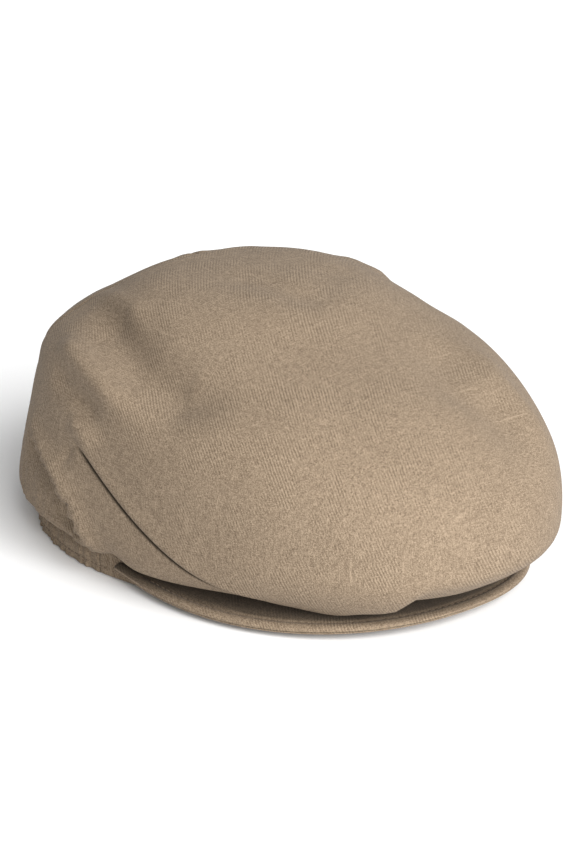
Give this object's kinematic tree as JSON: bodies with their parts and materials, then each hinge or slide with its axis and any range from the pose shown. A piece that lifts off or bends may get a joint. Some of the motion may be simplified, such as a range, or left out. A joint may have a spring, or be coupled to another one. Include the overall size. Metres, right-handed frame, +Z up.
{
  "type": "newsboy cap",
  "caption": "Soft flat cap in woven linen with a full crown over a gathered headband and a short stiff peak that flexes at its seam.",
  "frame": {"origin": "middle of the head opening, in the plane of the hem that the cap stands on", "axes": "+Z up through the crown, -Y towards the peak, +X towards the wearer's left"},
  "size_m": [0.2002, 0.2676, 0.119],
  "materials": {
    "linen_twill": "woven twill, matte",
    "lining_cloth": "smooth woven, slight sheen",
    "sweatband_cloth": "tight woven, matte",
    "buckram": "stiff open weave",
    "elastic_webbing": "ribbed elastic",
    "seam_tape": "folded bias tape",
    "thread": "twisted sewing thread",
    "peak_board": "smooth matte sheet",
    "label_cloth": "satin woven, blank"
  },
  "bodies": {
    "cap_body": {"crown_main_panel": "linen_twill", "crown_back_left": "linen_twill", "crown_back_right": "linen_twill", "cross_seam_tape": "seam_tape", "back_seam_tape": "seam_tape", "dart_tape_left": "seam_tape", "dart_tape_right": "seam_tape", "headband_front": "linen_twill", "headband_gathered": "linen_twill", "headband_stiffener": "buckram", "back_elastic": "elastic_webbing", "sweatband": "sweatband_cloth", "sweatband_join_tab": "sweatband_cloth", "lining_top": "lining_cloth", "lining_side_left": "lining_cloth", "lining_side_right": "lining_cloth", "blank_label": "label_cloth", "hem_stitching": "thread", "band_top_stitching": "thread"},
    "peak": {"peak_top_cover": "linen_twill", "peak_board": "peak_board", "peak_under_cover": "linen_twill", "peak_edge_stitching": "thread"}
  },
  "joints": [
    {"name": "peak_flex", "type": "hinge", "parent": "cap_body", "child": "peak", "pos_m": [0, -0.04, 0.005], "axis": [1, 0, 0], "range_deg": [0, 6], "stiffness_Nm_per_rad": 1.5}
  ]
}
